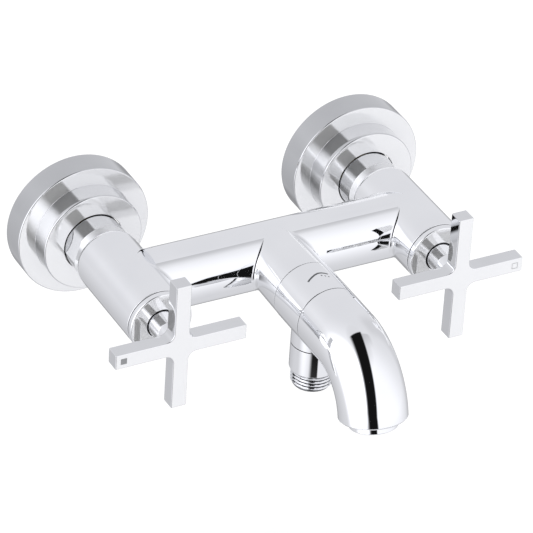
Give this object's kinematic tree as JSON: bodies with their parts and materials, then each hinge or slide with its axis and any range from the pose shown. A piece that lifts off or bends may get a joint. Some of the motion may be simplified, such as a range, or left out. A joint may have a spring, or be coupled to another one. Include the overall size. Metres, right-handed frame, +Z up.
{
  "type": "wall mounted bath faucet",
  "caption": "Wall mounted bath faucet with cross handles, stepped round cover plates, a curved spout that turns to divert, and a threaded hose outlet below.",
  "frame": {"origin": "wall plane, midway between the two water inlets", "axes": "+X right along the wall as seen by the user, +Y into the wall, +Z up"},
  "size_m": [0.2196, 0.2083, 0.0788],
  "materials": {
    "chrome": "polished chrome plate on brass",
    "brass": "machined",
    "steel": "bright",
    "rubber": "matt",
    "ceramic": "ground",
    "plastic": "moulded",
    "ptfe": "smooth",
    "index": "enamel"
  },
  "bodies": {
    "faucet_body": {"body_casting": "chrome", "hot_rosette": "chrome", "hot_wall_seal": "rubber", "hot_eccentric_union": "brass", "hot_union_nut": "chrome", "hot_inlet_washer": "rubber", "hot_inlet_tail": "brass", "hot_headwork_housing": "brass", "hot_headwork_oring": "rubber", "hot_seat_seal": "rubber", "hot_fixed_disc": "ceramic", "hot_front_ring": "chrome", "cold_rosette": "chrome", "cold_wall_seal": "rubber", "cold_eccentric_union": "brass", "cold_union_nut": "chrome", "cold_inlet_washer": "rubber", "cold_inlet_tail": "brass", "cold_headwork_housing": "brass", "cold_headwork_oring": "rubber", "cold_seat_seal": "rubber", "cold_fixed_disc": "ceramic", "cold_front_ring": "chrome", "diverter_housing": "chrome", "housing_oring": "rubber", "spool_circlip": "steel", "outlet_nipple": "chrome", "nipple_oring": "rubber", "check_valve_housing": "plastic", "check_valve_spring": "steel"},
    "hot_valve": {"hot_handle": "chrome", "hot_spline_insert": "plastic", "hot_handle_grub_screw": "steel", "hot_index_inlay": "index", "hot_spindle": "brass", "hot_spindle_oring": "rubber", "hot_turning_disc": "ceramic"},
    "cold_valve": {"cold_handle": "chrome", "cold_spline_insert": "plastic", "cold_handle_grub_screw": "steel", "cold_index_inlay": "index", "cold_spindle": "brass", "cold_spindle_oring": "rubber", "cold_turning_disc": "ceramic"},
    "spout_assembly": {"spout": "chrome", "spout_glide_ring": "ptfe", "aerator_housing": "chrome", "aerator_insert": "plastic", "aerator_washer": "rubber", "diverter_spool": "brass", "spool_oring_rear": "rubber", "spool_oring_front": "rubber"},
    "check_valve": {"check_valve_poppet": "plastic", "check_valve_seal": "rubber"}
  },
  "joints": [
    {"name": "hot_handle_turn", "type": "hinge", "parent": "faucet_body", "child": "hot_valve", "pos_m": [-0.075, -0.09, 0], "axis": [0, -1, 0], "range_deg": [0, 90]},
    {"name": "cold_handle_turn", "type": "hinge", "parent": "faucet_body", "child": "cold_valve", "pos_m": [0.075, -0.09, 0], "axis": [0, -1, 0], "range_deg": [0, 90]},
    {"name": "spout_turn", "type": "hinge", "parent": "faucet_body", "child": "spout_assembly", "pos_m": [0, -0.125, 0], "axis": [0, -1, 0], "range_deg": [-90, 90]},
    {"name": "check_valve_open", "type": "slide", "parent": "faucet_body", "child": "check_valve", "axis": [0, 0, -1], "range_m": [0, 0.0025], "stiffness_N_per_m": 60, "springref_m": -0.002, "deforming": ["check_valve_spring"]}
  ]
}
